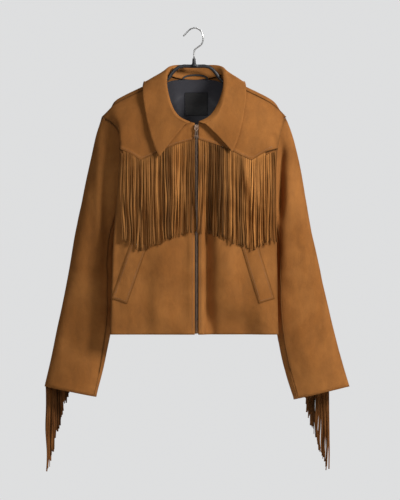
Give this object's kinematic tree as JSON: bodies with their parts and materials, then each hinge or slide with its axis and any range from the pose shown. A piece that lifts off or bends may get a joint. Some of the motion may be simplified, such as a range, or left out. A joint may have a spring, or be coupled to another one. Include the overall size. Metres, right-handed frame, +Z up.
{
  "type": "fringed suede zip jacket on a wire-hook hanger",
  "caption": "Short brown suede jacket with pointed collar, pointed yokes, long fringe on fronts and sleeves, slanted welt pockets and a zip front, on a slim hanger.",
  "frame": {"origin": "inside of the hook's crest, where the hanger bears on what holds it", "axes": "+X to the right of a viewer who faces the front, +Y behind the jacket, +Z up"},
  "size_m": [0.6817, 0.1406, 0.9961],
  "materials": {
    "suede": "napped suede, matt, soft sheen",
    "fringe_suede": "cut suede strips, matt",
    "satin": "smooth satin lining",
    "label_cloth": "woven, matt",
    "zip_tape": "woven tape",
    "zip_metal": "antique metal, satin",
    "hanger_black": "moulded, satin black",
    "hook_steel": "bright wire"
  },
  "bodies": {
    "jacket": {"back": "suede", "front_left": "suede", "front_right": "suede", "yoke_left": "suede", "yoke_right": "suede", "sleeve_left_top": "suede", "sleeve_left_under": "suede", "sleeve_right_top": "suede", "sleeve_right_under": "suede", "collar": "suede", "welt_left": "suede", "welt_right": "suede", "fringe_front_left": "fringe_suede", "fringe_front_right": "fringe_suede", "fringe_sleeve_left": "fringe_suede", "fringe_sleeve_right": "fringe_suede", "lining": "satin", "label": "label_cloth", "hang_loop": "label_cloth", "zip_tape_left": "zip_tape", "zip_tape_right": "zip_tape", "zip_chain": "zip_metal", "zip_slider": "zip_metal", "hanger_bar": "hanger_black", "hanger_hook": "hook_steel"},
    "pull": {"zip_pull": "zip_metal"}
  },
  "joints": [
    {"name": "pull_swing", "type": "hinge", "parent": "jacket", "child": "pull", "pos_m": [0.0055, -0.0606, -0.222], "axis": [-1, 0, 0], "range_deg": [0, 125]}
  ]
}
